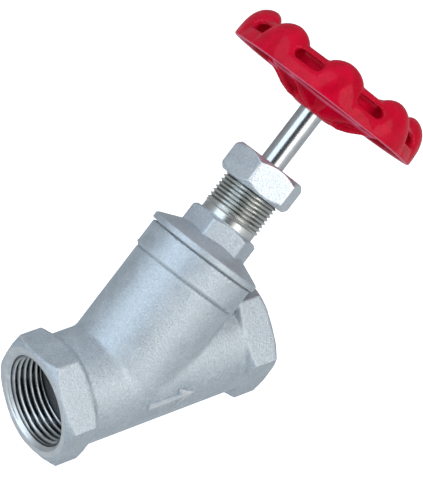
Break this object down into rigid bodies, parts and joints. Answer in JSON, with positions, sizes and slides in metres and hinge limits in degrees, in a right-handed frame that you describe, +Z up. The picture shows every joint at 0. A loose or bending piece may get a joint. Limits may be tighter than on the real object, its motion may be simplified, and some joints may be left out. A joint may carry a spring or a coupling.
{
  "type": "globe valve",
  "caption": "Stainless steel globe valve with an inclined bonnet, a rising stem, a cast handwheel and a threaded pipe socket at each end.",
  "frame": {"origin": "centre of the inlet mouth, on the pipe axis in the plane of the inlet face", "axes": "+X along the pipe to the outlet, +Z up, the stem leans over the outlet in the XZ plane"},
  "size_m": [0.1486, 0.076, 0.1371],
  "materials": {
    "cast_steel": "blasted stainless casting",
    "turned_steel": "turned stainless steel",
    "polished_steel": "bright drawn and polished bar",
    "zinc_steel": "zinc plated",
    "red_paint": "thick gloss red coating on a casting",
    "ptfe": "white PTFE"
  },
  "bodies": {
    "valve_body": {"valve_body": "cast_steel", "bonnet": "cast_steel", "bonnet_gasket": "ptfe", "packing_washer": "turned_steel", "packing_ring_1": "ptfe", "packing_ring_2": "ptfe", "packing_ring_3": "ptfe", "packing_ring_4": "ptfe"},
    "disc": {"disc_holder": "turned_steel", "disc_lock_nut": "turned_steel", "disc_seal": "ptfe", "seal_washer": "turned_steel", "seal_lock_washer": "turned_steel", "seal_nut": "turned_steel"},
    "stem": {"stem": "polished_steel", "handwheel": "red_paint", "wheel_washer": "zinc_steel", "wheel_spring_washer": "zinc_steel", "wheel_nut": "zinc_steel"},
    "gland_follower": {"gland_follower": "turned_steel"},
    "gland_nut": {"gland_nut": "cast_steel"}
  },
  "joints": [
    {"name": "disc_lift", "type": "slide", "parent": "valve_body", "child": "disc", "axis": [0.7071, 0, 0.7071], "range_m": [0, 0.009]},
    {"name": "stem_turn", "type": "hinge", "parent": "disc", "child": "stem", "pos_m": [0.10271, 0, 0.07071], "axis": [0.7071, 0, 0.7071], "range_deg": [0, 1080]},
    {"name": "gland_lift", "type": "slide", "parent": "valve_body", "child": "gland_follower", "axis": [0.7071, 0, 0.7071], "range_m": [0, 0.003]},
    {"name": "gland_nut_turn", "type": "hinge", "parent": "gland_follower", "child": "gland_nut", "pos_m": [0.0921, 0, 0.0601], "axis": [0.7071, 0, 0.7071], "range_deg": [0, 720]}
  ],
  "couplings": [
    {"joint": "disc_lift", "follows": "stem_turn", "m_per_rad": 0.00047746},
    {"joint": "gland_lift", "follows": "gland_nut_turn", "m_per_rad": 0.00023873}
  ]
}
